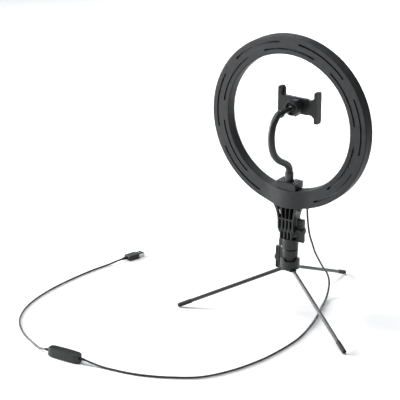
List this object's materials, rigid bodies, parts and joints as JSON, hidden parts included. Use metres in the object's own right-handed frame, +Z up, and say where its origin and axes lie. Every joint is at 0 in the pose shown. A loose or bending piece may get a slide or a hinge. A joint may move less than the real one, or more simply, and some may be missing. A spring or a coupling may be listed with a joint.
{
  "type": "ring light",
  "caption": "Ring-shaped LED lamp on a folding table tripod, with a spring phone clamp on a gooseneck, tilt and turn joints and a USB lead with controller.",
  "frame": {"origin": "on the floor, under the middle of the box of the standing light (without its lead)", "axes": "+Z up; -Y is the lit front; +X is to the right seen from the front-facing -Y side looking along +Y"},
  "size_m": [0.4923, 0.498, 0.432],
  "materials": {
    "casing": "fine moulded texture, charcoal",
    "black_plastic": "fine moulded texture, black",
    "diffuser": "frosted white",
    "led_board": "white circuit board with lamps",
    "green_board": "green circuit board",
    "rubber": "soft black rubber",
    "lead": "black cable jacket",
    "neck": "ribbed black gooseneck sleeve",
    "leg_tube": "satin black tube",
    "steel": "bright zinc",
    "black_steel": "black oxide"
  },
  "bodies": {
    "tripod": {"hub_base": "black_plastic", "hub_collar": "black_plastic", "column": "black_plastic", "leg_pin_1": "steel", "leg_pin_2": "steel", "leg_pin_3": "steel"},
    "leg_1": {"leg_tube_1": "leg_tube", "leg_foot_1": "rubber"},
    "leg_2": {"leg_tube_2": "leg_tube", "leg_foot_2": "rubber"},
    "leg_3": {"leg_tube_3": "leg_tube", "leg_foot_3": "rubber"},
    "lock": {"lock_knob": "black_plastic", "lock_screw": "steel"},
    "socket": {"socket_body": "black_plastic", "pan_stud": "steel", "lead_lamp": "lead", "controller_front": "black_plastic", "controller_back": "black_plastic", "controller_board": "green_board", "relief_lamp_side": "rubber", "relief_usb_side": "rubber", "lead_usb": "lead", "plug_grip": "rubber", "plug_shell": "steel", "plug_tongue": "black_plastic"},
    "tilt_screw": {"tilt_knob": "black_plastic", "tilt_bolt": "black_steel"},
    "head": {"tilt_nut": "black_steel", "stand_bracket": "black_plastic", "bracket_screw_left": "black_steel", "bracket_screw_right": "black_steel", "rear_casing": "casing", "diffuser": "diffuser", "led_board": "led_board", "driver_board": "green_board", "cord_grommet": "rubber", "shoe_block": "black_plastic"},
    "neck": {"neck_lower_ferrule": "black_steel", "gooseneck": "neck", "neck_upper_ferrule": "black_steel", "ball_stud": "steel"},
    "cup": {"ball_cup": "black_plastic"},
    "nut": {"ball_nut": "black_plastic"},
    "clamp": {"clamp_body": "black_plastic", "fixed_jaw_pad": "rubber", "clamp_spring": "steel"},
    "jaw": {"sliding_jaw": "black_plastic", "sliding_jaw_pad": "rubber"},
    "button_1": {"button_1": "rubber"},
    "button_2": {"button_2": "rubber"},
    "button_3": {"button_3": "rubber"},
    "button_4": {"button_4": "rubber"}
  },
  "joints": [
    {"name": "leg_1_fold", "type": "hinge", "parent": "tripod", "child": "leg_1", "pos_m": [0.00823, 0.04621, 0.07002], "axis": [0.5, -0.866, 0], "range_deg": [-66, 0]},
    {"name": "leg_2_fold", "type": "hinge", "parent": "tripod", "child": "leg_2", "pos_m": [0, 0.03196, 0.07002], "axis": [-1, 0, 0], "range_deg": [-66, 0]},
    {"name": "leg_3_fold", "type": "hinge", "parent": "tripod", "child": "leg_3", "pos_m": [-0.00823, 0.04621, 0.07002], "axis": [0.5, 0.866, 0], "range_deg": [-66, 0]},
    {"name": "lock_turn", "type": "hinge", "parent": "tripod", "child": "lock", "pos_m": [0.012, 0.04146, 0.084], "axis": [1, 0, 0], "range_deg": [-180, 180]},
    {"name": "socket_pan", "type": "hinge", "parent": "tripod", "child": "socket", "pos_m": [0, 0.04146, 0.102], "axis": [0, 0, 1], "range_deg": [-170, 170]},
    {"name": "tilt_knob_turn", "type": "hinge", "parent": "head", "child": "tilt_screw", "pos_m": [-0.0103, 0.04146, 0.134], "axis": [1, 0, 0], "range_deg": [-180, 180]},
    {"name": "head_tilt", "type": "hinge", "parent": "socket", "child": "head", "pos_m": [0.0027, 0.04146, 0.134], "axis": [1, 0, 0], "range_deg": [-30, 60], "deforming": ["lead_lamp", "lead_usb"]},
    {"name": "neck_turn", "type": "hinge", "parent": "head", "child": "neck", "pos_m": [0, 0.04796, 0.212], "axis": [0, 0, 1], "range_deg": [-60, 60]},
    {"name": "clamp_tilt", "type": "hinge", "parent": "neck", "child": "cup", "pos_m": [0, 0.04146, 0.322], "axis": [1, 0, 0], "range_deg": [-18, 18]},
    {"name": "clamp_turn", "type": "hinge", "parent": "cup", "child": "clamp", "pos_m": [0, 0.04146, 0.322], "axis": [0, 1, 0], "range_deg": [-90, 90]},
    {"name": "nut_turn", "type": "hinge", "parent": "cup", "child": "nut", "pos_m": [0, 0.04146, 0.322], "axis": [0, 1, 0], "range_deg": [-90, 90]},
    {"name": "jaw_slide", "type": "slide", "parent": "clamp", "child": "jaw", "axis": [-1, 0, 0], "range_m": [0, 0.024], "stiffness_N_per_m": 180, "springref_m": -0.01, "deforming": ["clamp_spring"]},
    {"name": "button_1_press", "type": "slide", "parent": "socket", "child": "button_1", "axis": [-0.0523, 0.9986, 0], "range_m": [0, 0.0009], "stiffness_N_per_m": 400, "springref_m": -0.0012},
    {"name": "button_2_press", "type": "slide", "parent": "socket", "child": "button_2", "axis": [-0.0523, 0.9986, 0], "range_m": [0, 0.0009], "stiffness_N_per_m": 400, "springref_m": -0.0012},
    {"name": "button_3_press", "type": "slide", "parent": "socket", "child": "button_3", "axis": [-0.0523, 0.9986, 0], "range_m": [0, 0.0009], "stiffness_N_per_m": 400, "springref_m": -0.0012},
    {"name": "button_4_press", "type": "slide", "parent": "socket", "child": "button_4", "axis": [-0.0523, 0.9986, 0], "range_m": [0, 0.0009], "stiffness_N_per_m": 400, "springref_m": -0.0012}
  ]
}
